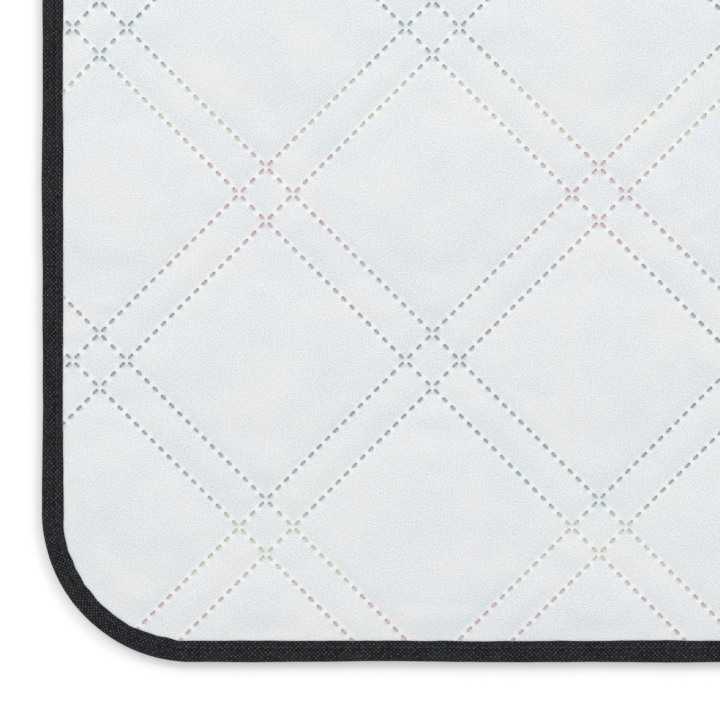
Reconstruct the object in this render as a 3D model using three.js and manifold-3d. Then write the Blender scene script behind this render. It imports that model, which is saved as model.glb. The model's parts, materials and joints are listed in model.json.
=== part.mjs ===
// A folding foam sleeping pad: a sheet of foam between a pale upper cloth and a striped lower
// cloth, quilted along pairs of weld lines, edged with folded tape, and closed by a hook-and-loop
// flap with a webbing handle. It lies open along X with its lower face at Z = 0.
// The sheet folds like an accordion at four soft creases, so every layer is divided there.
import * as THREE from "three";
import { mergeVertices } from "three/addons/utils/BufferGeometryUtils.js";
import Module from "manifold-3d";

const wasm = await Module();
wasm.setup();

// ---------- Driving dimensions, in millimetres ----------

// The open pad
const padLength = 1860;
const padWidth = 600;
const cornerRadius = 67.5;
const panelCount = 5;

// The layers
const clothThickness = 0.4;
const foamThickness = 4.6; // at the middle of a quilted diamond
const foamUnderWeld = 3.0; // what the weld lines leave of it
const foamInBinding = 0.6; // pressed flat inside the edge tape
const layerGap = 0.3; // clearance between neighbouring layers

// The quilting: crossing pairs of weld lines at 45 degrees to the sides
const quiltRepeat = 150; // between crossings, along X and along Y
const weldPairSpacing = 17.3;
const weldSlope = 8.2; // from a weld line up to the level middle of a diamond
const firstCrossingX = 101.2; // from the outer edge of the end that has no flap
const firstCrossingY = 61.2; // from the outer edge of the front side

// The edge
const bindingWidth = 9.7;
const bindingThickness = 0.6;
const bindingRound = 1.7;
const bindingFold = 0.9; // tape thickness round the sheet's edge
const rimRise = 2.2; // height of the pressed edge's lower face above the ground
const rimSlope = 14; // over which the sheet swells to its full thickness

// The creases and the fold
const creaseGap = 3;
const foldClearance = 1; // between a fold's axis and the face it folds onto
const foldShortfall = 0.1; // degrees that a soft crease stays short of a half turn

// The flap and its hook-and-loop tapes
const flapWidth = 160;
const flapThickness = 1;
const flapRootLap = 11; // how far it is sewn in over the edge tape
const flapHingeOut = 10; // first fold, out from the edge of the pad
const flapHingeRise = 0.8; // above the flap's upper face
const flapHingeGap = 2;
const tongueLength = 70;
const tongueHingeRise = 0.3; // above the hook tape's upper face
const tongueCorner = 14;
const tapeCorner = 8;
const hookTapeLength = 45;
const hookTapeThickness = 1.2;
const loopTapeLength = 50;
const loopTapeThickness = 1;
const tapeSideMargin = 6; // from the flap's side edges to the tapes
const loopFromCrease = 10;
const closedGap = 1.2; // left between hook and loop when the flap is closed on the folded pad

// The handle, sewn flat to the flap's outer side
const handleLength = 130;
const handleWidth = 22;
const handleThickness = 1.6;

// Facets of the rounded corners and edges
const cornerSegments = 8;
const rimSegments = 1;
const tapeSegments = 2;

// ---------- Levels and places that follow from them ----------

const padThickness = foamThickness + 2 * (clothThickness + layerGap);
const weldLevel = foamUnderWeld + 2 * (clothThickness + layerGap);
const rimLevel = rimRise + foamInBinding + 2 * (clothThickness + layerGap);
const bindingBottom = rimRise - layerGap - bindingThickness;
const bindingTop = rimLevel + layerGap + bindingThickness;
const foamOffset = clothThickness + layerGap; // from the sheet's outer face to its foam
const sheetInset = bindingFold + layerGap + 0.1; // from the pad's outer edge to the sheet's edge
const rimInset = bindingWidth + 0.7; // where the sheet starts to swell

const panelLength = padLength / panelCount;
// A folded panel's far end stands this much higher, because each crease stops short.
const panelRise = panelLength * Math.sin((foldShortfall * Math.PI) / 180);
const stackThickness = panelCount * padThickness + 2 * foldClearance * (panelCount - 1);
const stackTop = stackThickness + panelRise * Math.floor(panelCount / 2);
const flapBottom = bindingTop + layerGap;
const flapTop = flapBottom + flapThickness;
const flapHingeZ = flapTop + flapHingeRise;
const hookBottom = flapTop + layerGap;
const hookTop = hookBottom + hookTapeThickness;
const tongueHingeZ = hookTop + tongueHingeRise;
const loopBottom = padThickness + layerGap;
const loopTop = loopBottom + loopTapeThickness;
const bridgeLength = stackTop + (loopTop - padThickness) + closedGap - tongueHingeRise - flapHingeZ;
const flapReach = flapHingeOut + bridgeLength + tongueLength;

const padRight = (padLength - flapReach) / 2;
const padLeft = padRight - padLength;
const padCentreX = (padLeft + padRight) / 2;
const creaseAt = (index) => padRight - index * panelLength;
const flapHingeX = padRight + flapHingeOut;
const tongueHingeX = flapHingeX + bridgeLength;
const tapeWidth = flapWidth - 2 * tapeSideMargin;

// ---------- Materials ----------

const finish = (color, roughness) => new THREE.MeshStandardMaterial({ color, roughness, metalness: 0 });
const paleCloth = finish(0xe2e7e9, 0.62);
const whiteFoam = finish(0xf1f1ee, 0.9);
const stripedCloth = finish(0x9fb4bd, 0.8);
const blackTape = finish(0x2e2f33, 0.85);
const blackCloth = finish(0x33343a, 0.85);
const blackWebbing = finish(0x242529, 0.8);
const hookPile = finish(0x1d1e21, 0.7);
const loopPile = finish(0x2b2c30, 0.95);

// ---------- Solids ----------

const pad = new THREE.Group();

// A closed geometry as a solid that can be joined and cut.
function solid(geometry) {
  const bare = geometry.index ? geometry.toNonIndexed() : geometry.clone();
  bare.deleteAttribute("normal");
  bare.deleteAttribute("uv");
  const merged = mergeVertices(bare, 1e-4);
  const vertProperties = new Float32Array(merged.attributes.position.array);
  const triVerts = new Uint32Array(merged.index.array);
  return new wasm.Manifold(new wasm.Mesh({ numProp: 3, vertProperties, triVerts }));
}

// A solid back as a named mesh in the pad's group.
function place(name, material, body) {
  const { vertProperties, triVerts, numProp, numVert } = body.getMesh();
  const position = new Float32Array(numVert * 3);
  for (let i = 0; i < numVert; i++) {
    position.set(vertProperties.subarray(i * numProp, i * numProp + 3), i * 3);
  }
  const geometry = new THREE.BufferGeometry();
  geometry.setAttribute("position", new THREE.BufferAttribute(position, 3));
  geometry.setIndex(new THREE.BufferAttribute(triVerts, 1));
  geometry.computeVertexNormals();
  const mesh = new THREE.Mesh(geometry, material);
  mesh.name = name;
  pad.add(mesh);
}

// A rectangle with rounded corners: one radius for its -X end and one for its +X end.
function roundedRectangle(x0, x1, y0, y1, radiusLeft, radiusRight) {
  const shape = new THREE.Shape();
  shape.moveTo(x0 + radiusLeft, y0);
  shape.lineTo(x1 - radiusRight, y0);
  if (radiusRight > 0) shape.absarc(x1 - radiusRight, y0 + radiusRight, radiusRight, -Math.PI / 2, 0);
  shape.lineTo(x1, y1 - radiusRight);
  if (radiusRight > 0) shape.absarc(x1 - radiusRight, y1 - radiusRight, radiusRight, 0, Math.PI / 2);
  shape.lineTo(x0 + radiusLeft, y1);
  if (radiusLeft > 0) shape.absarc(x0 + radiusLeft, y1 - radiusLeft, radiusLeft, Math.PI / 2, Math.PI);
  shape.lineTo(x0, y0 + radiusLeft);
  if (radiusLeft > 0) shape.absarc(x0 + radiusLeft, y0 + radiusLeft, radiusLeft, Math.PI, Math.PI * 1.5);
  return shape;
}

// The pad's outline, moved in from its outer edge by inset.
function padOutline(inset) {
  const halfWidth = padWidth / 2 - inset;
  const radius = cornerRadius - inset;
  return roundedRectangle(padLeft + inset, padRight - inset, -halfWidth, halfWidth, radius, radius);
}

// A plate of an outline between two heights.
function plate(shape, z0, z1, curveSegments = cornerSegments) {
  const geometry = new THREE.ExtrudeGeometry(shape, { depth: z1 - z0, bevelEnabled: false, curveSegments });
  return solid(geometry.translate(0, 0, z0));
}

// A plate that swells outwards from an outline: its edges fall off over size sideways and rise in
// height past each of the two heights.
function swollenPlate(shape, z0, z1, size, rise, bevelSegments) {
  const geometry = new THREE.ExtrudeGeometry(shape, {
    depth: z1 - z0,
    bevelSize: size,
    bevelThickness: rise,
    bevelSegments,
    curveSegments: cornerSegments,
  });
  return solid(geometry.translate(0, 0, z0));
}

function box(x0, x1, y0, y1, z0, z1) {
  const geometry = new THREE.BoxGeometry(x1 - x0, y1 - y0, z1 - z0);
  return solid(geometry.translate((x0 + x1) / 2, (y0 + y1) / 2, (z0 + z1) / 2));
}

// ---------- The quilted sheet ----------

// A closed block under an open sheet of triangles, down to a level base.
function blockUnder(sheet, base) {
  const name = (point) => point.join();
  const sides = ([a, b, c]) => [name(a) + name(b), name(b) + name(c), name(c) + name(a)];
  const edges = new Set(sheet.flatMap(sides));
  const low = ([x, y]) => [x, y, base];
  const faces = [...sheet];
  for (const [a, b, c] of sheet) {
    faces.push([low(c), low(b), low(a)]);
    for (const [from, to] of [[a, b], [b, c], [c, a]]) {
      if (edges.has(name(to) + name(from))) continue;
      faces.push([low(from), low(to), to], [low(from), to, from]);
    }
  }
  const geometry = new THREE.BufferGeometry();
  geometry.setAttribute("position", new THREE.Float32BufferAttribute(faces.flat(2), 3));
  return solid(geometry);
}

// A block whose upper face is the quilting: level diamonds, with a pressed band between the two
// weld lines of each pair. It is made of tiles, one round each crossing of two bands, on the axes
// U and V, which the bands follow at 45 degrees to X and Y.
function quiltBlock(base) {
  const weld = weldPairSpacing / 2;
  const outer = weld + weldSlope;
  const next = quiltRepeat / Math.SQRT2;
  const reach = Math.ceil((padLength + padWidth) / quiltRepeat / 2) + 1;
  const nearestCrossing = (first, middle) =>
    first + quiltRepeat * Math.round((middle - first) / quiltRepeat);
  const x0 = nearestCrossing(padLeft + firstCrossingX, padCentreX);
  const y0 = nearestCrossing(-padWidth / 2 + firstCrossingY, 0);
  const rounded = (value) => Math.round(value * 1000) / 1000;
  const sheet = [];
  const quad = (a, b, c, d) => sheet.push([a, b, c], [a, c, d]);

  for (let k = -reach; k <= reach; k++) {
    for (let l = -reach; l <= reach; l++) {
      const at = (du, dv, z) => {
        const u = k * next + du;
        const v = l * next + dv;
        return [rounded(x0 + (u - v) / Math.SQRT2), rounded(y0 + (u + v) / Math.SQRT2), z];
      };
      const alongU = (along, across, z) => at(along, across, z);
      const alongV = (along, across, z) => at(-across, along, z);
      const square = [[-weld, -weld], [weld, -weld], [weld, weld], [-weld, weld]];
      quad(...square.map(([du, dv]) => at(du, dv, weldLevel)));
      for (const [leadsOn, on] of [[k < reach, alongU], [l < reach, alongV]]) {
        if (!leadsOn) continue;
        const [near, far] = [on(weld, -weld, weldLevel), on(next - weld, -weld, weldLevel)];
        const [nearLeft, farLeft] = [on(weld, weld, weldLevel), on(next - weld, weld, weldLevel)];
        quad(near, far, farLeft, nearLeft);
        quad(far, near, on(outer, -outer, padThickness), on(next - outer, -outer, padThickness));
        quad(nearLeft, farLeft, on(next - outer, outer, padThickness), on(outer, outer, padThickness));
      }
      if (k === reach || l === reach) continue;
      const opposite = next - outer;
      const corners = [[outer, outer], [opposite, outer], [opposite, opposite], [outer, opposite]];
      quad(...corners.map(([du, dv]) => at(du, dv, padThickness)));
    }
  }
  return blockUnder(sheet, base);
}

// Everything under the sheet's upper face when that face is lowered by drop: pressed flat at the
// rim, and swollen and quilted inside it.
function underUpperFace(drop, outlineInset) {
  const base = -padThickness;
  const inner = padOutline(rimInset + rimSlope);
  const swollen = swollenPlate(inner, base, rimLevel, rimSlope, padThickness - rimLevel, rimSegments);
  const body = swollen.intersect(quiltBlock(base));
  return body.add(plate(padOutline(outlineInset), base, rimLevel)).translate(0, 0, -drop);
}

// Everything over the sheet's lower face when that face is raised by lift.
function overLowerFace(lift, outlineInset) {
  const roof = 2 * padThickness;
  const inner = padOutline(rimInset + rimSlope);
  const body = swollenPlate(inner, rimRise, roof, rimSlope, rimRise, rimSegments);
  return body.add(plate(padOutline(outlineInset), rimRise, roof)).translate(0, 0, lift);
}

const beyondEdge = sheetInset - 1;
const upperCloth = underUpperFace(0, sheetInset).subtract(underUpperFace(clothThickness, beyondEdge));
const lowerCloth = overLowerFace(0, sheetInset).subtract(overLowerFace(clothThickness, beyondEdge));
const foam = underUpperFace(foamOffset, sheetInset).intersect(overLowerFace(foamOffset, sheetInset));

// ---------- The edge tape, folded round the sheet's edge ----------

function edgeTape() {
  const low = bindingBottom + bindingRound;
  const high = bindingTop - bindingRound;
  const outer = swollenPlate(padOutline(bindingRound), low, high, bindingRound, bindingRound, tapeSegments);
  const window = plate(padOutline(bindingWidth), bindingBottom - 1, bindingTop + 1);
  const slot = plate(padOutline(bindingFold), rimRise - layerGap, rimLevel + layerGap);
  return outer.subtract(window).subtract(slot);
}

const binding = edgeTape();

// ---------- Dividing the layers into the pad's panels ----------

// The room of one panel; panel 1 is the one that has the flap.
function panelRoom(index, y0 = -padWidth, y1 = padWidth) {
  const x0 = index === panelCount ? padLeft - creaseGap : creaseAt(index) + creaseGap / 2;
  const x1 = index === 1 ? padRight + creaseGap : creaseAt(index - 1) - creaseGap / 2;
  return box(x0, x1, y0, y1, -padThickness, 2 * padThickness);
}

for (let index = 1; index <= panelCount; index++) {
  const room = panelRoom(index);
  place(`top_cover_${index}`, paleCloth, upperCloth.intersect(room));
  place(`foam_core_${index}`, whiteFoam, foam.intersect(room));
  place(`bottom_cover_${index}`, stripedCloth, lowerCloth.intersect(room));
  if (index === 1 || index === panelCount) {
    place(`edge_binding_${index}`, blackTape, binding.intersect(room));
  } else {
    place(`edge_binding_${index}_front`, blackTape, binding.intersect(panelRoom(index, -padWidth, 0)));
    place(`edge_binding_${index}_back`, blackTape, binding.intersect(panelRoom(index, 0, padWidth)));
  }
}

// ---------- The closing flap, its tapes and its handle ----------

// A flat piece between two levels, rounded at its +X end and, if asked, at its -X end.
function strap(name, material, x0, x1, width, [z0, z1], endRadius = 0, startRadius = 0) {
  const shape = roundedRectangle(x0, x1, -width / 2, width / 2, startRadius, endRadius);
  place(name, material, plate(shape, z0, z1, 6));
}

const halfGap = flapHingeGap / 2;
const tongueEnd = tongueHingeX + tongueLength;
const flapLevels = [flapBottom, flapTop];
strap("flap_root", blackCloth, padRight - flapRootLap, flapHingeX - halfGap, flapWidth, flapLevels);
strap("flap_bridge", blackCloth, flapHingeX + halfGap, tongueHingeX - halfGap, flapWidth, flapLevels);
strap("flap_tongue", blackCloth, tongueHingeX + halfGap, tongueEnd, flapWidth, flapLevels, tongueCorner);

const hookEnd = tongueEnd - tapeSideMargin;
strap("hook_tape", hookPile, hookEnd - hookTapeLength, hookEnd, tapeWidth, [hookBottom, hookTop], tapeCorner);

const loopEnd = creaseAt(panelCount - 1) - loopFromCrease;
strap("loop_tape", loopPile, loopEnd - loopTapeLength, loopEnd, tapeWidth, [loopBottom, loopTop]);

// The handle's two sewn ends lie flat and its grip stands a little off the flap between them.
function handle() {
  const x = (flapHingeX + tongueHingeX) / 2;
  const z = flapBottom - layerGap;
  const half = handleLength / 2;
  const sewn = handleLength / 5;
  const bow = 0.8;
  const side = new THREE.Shape();
  side.moveTo(-half, 0);
  side.lineTo(-half + sewn, 0);
  side.quadraticCurveTo(0, -2 * bow, half - sewn, 0);
  side.lineTo(half, 0);
  side.lineTo(half, -handleThickness);
  side.lineTo(half - sewn, -handleThickness);
  side.quadraticCurveTo(0, -handleThickness - 2 * bow, -half + sewn, -handleThickness);
  side.lineTo(-half, -handleThickness);
  side.closePath();
  const options = { depth: handleWidth, bevelEnabled: false, curveSegments: 8 };
  const geometry = new THREE.ExtrudeGeometry(side, options);
  geometry.translate(0, 0, -handleWidth / 2);
  geometry.rotateX(Math.PI / 2);
  geometry.rotateZ(Math.PI / 2);
  place("handle_webbing", blackWebbing, solid(geometry.translate(x, 0, z)));
}
handle();

export default pad;
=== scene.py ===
# %% [markdown]
# # A folding foam sleeping pad
#
# The pad is a sandwich: a pale film-faced cloth on top, a thin sheet of foam, and a rainbow-striped
# cloth underneath. Pairs of ultrasonic weld lines cross at 45 degrees to the sides and press the
# layers together in small dashes, and a black woven tape is folded round the edge. It folds like an
# accordion at four soft creases and is closed by a black flap with hook-and-loop tape and a handle.
#
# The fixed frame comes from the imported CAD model. Everything here is built in metres in its space.

# %% Load the frame
import json
import math

import bmesh
import bpy
import numpy as np
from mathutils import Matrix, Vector, noise


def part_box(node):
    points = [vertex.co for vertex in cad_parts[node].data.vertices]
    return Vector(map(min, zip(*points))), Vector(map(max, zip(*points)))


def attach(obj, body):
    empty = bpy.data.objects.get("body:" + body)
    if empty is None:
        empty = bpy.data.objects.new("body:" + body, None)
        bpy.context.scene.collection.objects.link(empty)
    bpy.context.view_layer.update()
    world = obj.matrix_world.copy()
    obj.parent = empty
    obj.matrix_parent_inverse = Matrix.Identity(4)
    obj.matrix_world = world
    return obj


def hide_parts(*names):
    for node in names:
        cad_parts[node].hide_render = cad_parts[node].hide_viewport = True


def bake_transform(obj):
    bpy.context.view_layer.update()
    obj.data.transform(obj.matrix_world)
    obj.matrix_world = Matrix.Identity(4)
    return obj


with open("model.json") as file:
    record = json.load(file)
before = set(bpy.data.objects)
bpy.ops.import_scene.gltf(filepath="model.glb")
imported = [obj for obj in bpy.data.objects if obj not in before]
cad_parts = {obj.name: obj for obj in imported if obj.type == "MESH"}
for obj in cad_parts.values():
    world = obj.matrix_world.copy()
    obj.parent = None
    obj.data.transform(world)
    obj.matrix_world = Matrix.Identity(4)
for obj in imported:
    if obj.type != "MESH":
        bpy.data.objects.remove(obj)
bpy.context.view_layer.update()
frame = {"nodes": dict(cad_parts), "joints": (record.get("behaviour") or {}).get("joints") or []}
scene = bpy.context.scene
joint_at = {joint["name"]: Vector(joint["pos_m"]) for joint in frame["joints"]}

tape_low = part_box("edge_binding_5")[0]
tape_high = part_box("edge_binding_1")[1]
PAD_LEFT, PAD_RIGHT = tape_low.x, tape_high.x
PAD_FRONT, PAD_BACK = tape_low.y, tape_high.y
CREASES = [joint_at[f"fold_{k}"].x for k in (1, 2, 3, 4)]
PANEL = CREASES[0] - CREASES[1]
MIDDLES = [x - PANEL / 2 for x in CREASES[:3]]  # the middles of panels 2, 3 and 4
print(f"pad {PAD_RIGHT - PAD_LEFT:.3f} by {PAD_BACK - PAD_FRONT:.3f} m, creases at {np.round(CREASES, 4)}")

# %% [markdown]
# The sizes of the pad's own pieces, as the CAD source has them. The covers' edges are inside the
# tape, so their cut is a little smaller than the pad.

# %% Sizes
CORNER = 0.0675
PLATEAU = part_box("top_cover_3")[1].z  # upper face at the middle of a diamond
WELD_Z = 0.0044
RIM_TOP_Z, RIM_UNDER_Z = 0.0042, 0.0022
COVER_INSET = 0.0013
TAPE_WIDTH = 0.0097
RIM_INSET, RIM_SLOPE = 0.0104, 0.014
REPEAT = 0.150
PAIR = 0.0173
CROSSING = (PAD_LEFT + 0.1012, PAD_FRONT + 0.0612)
FOLD_HALF = 0.003  # a crease bends over this much on each side
CUT_WIDTH = PAD_BACK - PAD_FRONT - 2 * COVER_INSET
CUT_LENGTH = PAD_RIGHT - PAD_LEFT - 2 * COVER_INSET
print(f"cut of each cover {CUT_LENGTH:.4f} by {CUT_WIDTH:.4f} m")

# %% [markdown]
# ## Shape of the quilting
#
# The weld wheel leaves one dash every 5.3 mm: three on the short stretch between the two lines of a
# pair and seventeen on the long stretch to the next pair. So the cloth is drawn on a grid that
# counts in half dashes, `a` along one diagonal and `b` along the other, 40 to a repeat. Stretching
# the count a little puts every weld line exactly on a row of grid points, and every grid point of
# that row on a dash.

# %% From dash counts to places
HALF_DASHES = 40
WELD_COUNT = 3  # a weld line is this many half dashes from the middle of its pair
DIAGONAL = REPEAT / math.sqrt(2)


def place_of(count):
    """How far along a diagonal a count of half dashes lies."""
    whole, rest = np.divmod(count, HALF_DASHES)
    stops = (0, WELD_COUNT, HALF_DASHES - WELD_COUNT, HALF_DASHES)
    return whole * DIAGONAL + np.interp(rest, stops, (0, PAIR / 2, DIAGONAL - PAIR / 2, DIAGONAL))


def on_pad(a, b):
    """The point of the pad at two diagonal counts."""
    u, v = place_of(a), place_of(b)
    return CROSSING[0] + (u - v) / math.sqrt(2), CROSSING[1] + (u + v) / math.sqrt(2)


def inside(x, y, inset=0.0):
    """How far a point is in from the pad's outline, moved in by inset. It is negative outside."""
    centre_x, centre_y = (PAD_LEFT + PAD_RIGHT) / 2, (PAD_FRONT + PAD_BACK) / 2
    corner = CORNER - inset
    across = np.abs(x - centre_x) - ((PAD_RIGHT - PAD_LEFT) / 2 - inset - corner)
    along = np.abs(y - centre_y) - ((PAD_BACK - PAD_FRONT) / 2 - inset - corner)
    outer = np.hypot(np.maximum(across, 0), np.maximum(along, 0))
    return corner - outer - np.minimum(np.maximum(across, along), 0)


# %% [markdown]
# Across a weld line the cloth climbs steeply from the weld and then levels out: to the full height
# in a diamond, and to a low ridge in the narrow strip between two lines. Both diagonals multiply, so
# the small squares stay low. At the rim and at the creases the sandwich is pressed thin.

# %% Height of the covers
RIDGE_SHARE = 0.66  # a strip's ridge stands this share of the way up to the level of a diamond


def puff(along):
    """0 on a weld line and 1 far from one, for a place along one diagonal."""
    off = np.abs((along + DIAGONAL / 2) % DIAGONAL - DIAGONAL / 2)
    past = np.maximum(off - PAIR / 2, 0)
    diamond = 0.8 * (1 - np.exp(-past / 0.0034)) + 0.2 * (1 - np.exp(-past / 0.014))
    strip = RIDGE_SHARE * np.cos(np.minimum(off / (PAIR / 2), 1) * math.pi / 2) ** 0.8
    return np.where(off < PAIR / 2, strip, diamond)


def smooth_step(low, high, value):
    t = np.clip((value - low) / (high - low), 0, 1)
    return t * t * (3 - 2 * t)


def pressed(x):
    """1 in the bottom of a crease and 0 away from one."""
    return sum(np.exp(-(((x - crease) / 0.0032) ** 2)) for crease in CREASES)


def diagonals(x, y):
    """How far a point lies along each diagonal from the first crossing."""
    east, north = x - CROSSING[0], y - CROSSING[1]
    return (east + north) / math.sqrt(2), (north - east) / math.sqrt(2)


def from_weld(x, y):
    """How far a point is from the nearest weld line."""
    past_pair = [np.abs((along + DIAGONAL / 2) % DIAGONAL - DIAGONAL / 2) for along in diagonals(x, y)]
    return np.minimum.reduce([np.abs(off - PAIR / 2) for off in past_pair])


def upper_height(x, y):
    u, v = diagonals(x, y)
    quilted = WELD_Z + (PLATEAU - WELD_Z) * puff(u) * puff(v)
    swell = smooth_step(RIM_INSET, RIM_INSET + RIM_SLOPE, inside(x, y))
    return RIM_TOP_Z + (quilted - RIM_TOP_Z) * swell - 0.0009 * pressed(x) * swell


def lower_height(x, y):
    u, v = diagonals(x, y)
    dimple = 0.0006 * (1 - np.minimum(puff(u), puff(v)) ** 0.5)
    swell = smooth_step(RIM_INSET, RIM_INSET + RIM_SLOPE, inside(x, y))
    return RIM_UNDER_Z * (1 - swell) + (dimple + 0.0005 * pressed(x)) * swell


for name, x, y in (("crossing", *CROSSING), ("diamond", CROSSING[0] + REPEAT / 2, CROSSING[1])):
    print(f"upper face at a {name}: {float(upper_height(x, y)) * 1000:.2f} mm")

# %% [markdown]
# ## Cutting the cloth
#
# A cover starts as that grid, trimmed to the cut. The grid's place before any sewing is kept in the
# attribute `cut`, because the cloth's weave and its stripes follow the cloth, not the room: when
# the pad folds, the pattern turns with it.

# %% Meshes and what their points hold
def vectors_from(items, key):
    """Three numbers for each item of a mesh, such as its points' places."""
    flat = np.empty(len(items) * 3, np.float32)
    items.foreach_get(key, flat)
    return flat.reshape(-1, 3)


def keep_vectors(mesh, key, vectors):
    """Stores three numbers for each point of a mesh in an attribute."""
    layer = mesh.attributes.new(key, "FLOAT_VECTOR", "POINT")
    layer.data.foreach_set("vector", np.asarray(vectors, np.float32).ravel())


def mesh_of(name, points, faces, cut=None):
    """A smooth mesh, with the place of each point on the flat cloth in the attribute cut."""
    mesh = bpy.data.meshes.new(name)
    mesh.from_pydata([tuple(p) for p in points], [], [tuple(int(i) for i in f) for f in faces])
    if cut is not None:
        keep_vectors(mesh, "cut", cut)
    mesh.shade_smooth()
    return mesh


def show(mesh, name=None):
    """The object that shows a mesh, at the origin."""
    piece = bpy.data.objects.new(name or mesh.name, mesh)
    scene.collection.objects.link(piece)
    return piece


# %% A trimmed grid
def trimmed_grid(step=1):
    """Points (x, y), faces, and counts (a, b) of a grid that covers the cut. step skips points."""
    columns = math.ceil((PAD_RIGHT - PAD_LEFT) / REPEAT) * HALF_DASHES
    rows = math.ceil((PAD_BACK - PAD_FRONT) / REPEAT) * HALF_DASHES
    i = np.arange(-HALF_DASHES, columns, step)
    i, j = np.meshgrid(i, np.arange(-HALF_DASHES, rows, step), indexing="ij")
    a, b = i + j, j - i + 1
    x, y = on_pad(a, b)
    near = inside(x, y, COVER_INSET)
    corners = [near[:-1, :-1], near[1:, :-1], near[1:, 1:], near[:-1, 1:]]
    kept = np.maximum.reduce(corners) > 0.0004
    index = np.arange(i.size).reshape(i.shape)
    quads = np.stack([index[:-1, :-1], index[1:, :-1], index[1:, 1:], index[:-1, 1:]], axis=-1)[kept]
    used, faces = np.unique(quads, return_inverse=True)
    x, y, a, b = (values.ravel()[used] for values in (x, y, a, b))
    for _ in range(4):  # walks the outermost points in to the cut's edge
        out = np.minimum(inside(x, y, COVER_INSET), 0)
        slope_x = (inside(x + 1e-5, y) - inside(x - 1e-5, y)) / 2e-5
        slope_y = (inside(x, y + 1e-5) - inside(x, y - 1e-5)) / 2e-5
        x, y = x - out * slope_x, y - out * slope_y
    return np.column_stack([x, y]), faces.reshape(-1, 4), a, b


cloth_xy, cloth_faces, count_a, count_b = trimmed_grid()
is_weld = np.isin(count_a % HALF_DASHES, (WELD_COUNT, HALF_DASHES - WELD_COUNT)) | np.isin(
    count_b % HALF_DASHES, (WELD_COUNT, HALF_DASHES - WELD_COUNT)
)
print(f"cloth grid: {len(cloth_xy)} points, {int(is_weld.sum())} of them under a weld dash")

# %% [markdown]
# ## Camera, light and floor
#
# The camera looks straight down at the rounded corner of the end without the flap. One large soft
# lamp stands off to the upper left, so the quilting throws gentle shade, and the white surroundings
# fill in the rest. The floor is brighter than the cloth and turns almost white.

# %% Camera
VIEW_WIDTH = 0.324
LENS, SENSOR = 85, 36
camera_data = bpy.data.cameras.new("camera")
camera_data.lens, camera_data.sensor_width = LENS, SENSOR
camera = bpy.data.objects.new("camera", camera_data)
scene.collection.objects.link(camera)
view_centre = Vector((PAD_LEFT + 0.14355, PAD_FRONT + 0.13635, PLATEAU))
camera.location = view_centre + Vector((0, 0, VIEW_WIDTH * LENS / SENSOR))
camera_data.clip_start = 0.01
scene.camera = camera
print(f"camera {camera.location.z:.3f} m up, {VIEW_WIDTH:.3f} m wide view")

# %% Light
scene.view_settings.view_transform = "Standard"
world = bpy.data.worlds.new("surroundings")
world.use_nodes = True
world.node_tree.nodes["Background"].inputs["Color"].default_value = (1.0, 1.0, 1.0, 1)
world.node_tree.nodes["Background"].inputs["Strength"].default_value = 0.92
scene.world = world


def soft_lamp(name, place, target, size, watts):
    data = bpy.data.lights.new(name, "AREA")
    data.shape, data.size, data.energy = "DISK", size, watts
    lamp = bpy.data.objects.new(name, data)
    lamp.location = place
    lamp.rotation_mode = "QUATERNION"
    lamp.rotation_quaternion = (Vector(target) - Vector(place)).to_track_quat("-Z", "Y")
    scene.collection.objects.link(lamp)
    return lamp


corner_point = Vector((view_centre.x, view_centre.y, 0))
soft_lamp("key_lamp", corner_point + Vector((-1.3, 1.5, 1.5)), corner_point, 1.0, 12)
soft_lamp("far_lamp", (0.9, 1.6, 1.9), (0.4, 0, 0), 1.0, 16)

# %% [markdown]
# ## Writing materials as sums
#
# A material is a small program: patterns are added, multiplied and compared. `Wire` holds one
# output of a node, and the usual signs add Math nodes behind it, so a formula reads like one.
# Every other node comes from `node`, which takes its type, its settings and its inputs.

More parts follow.
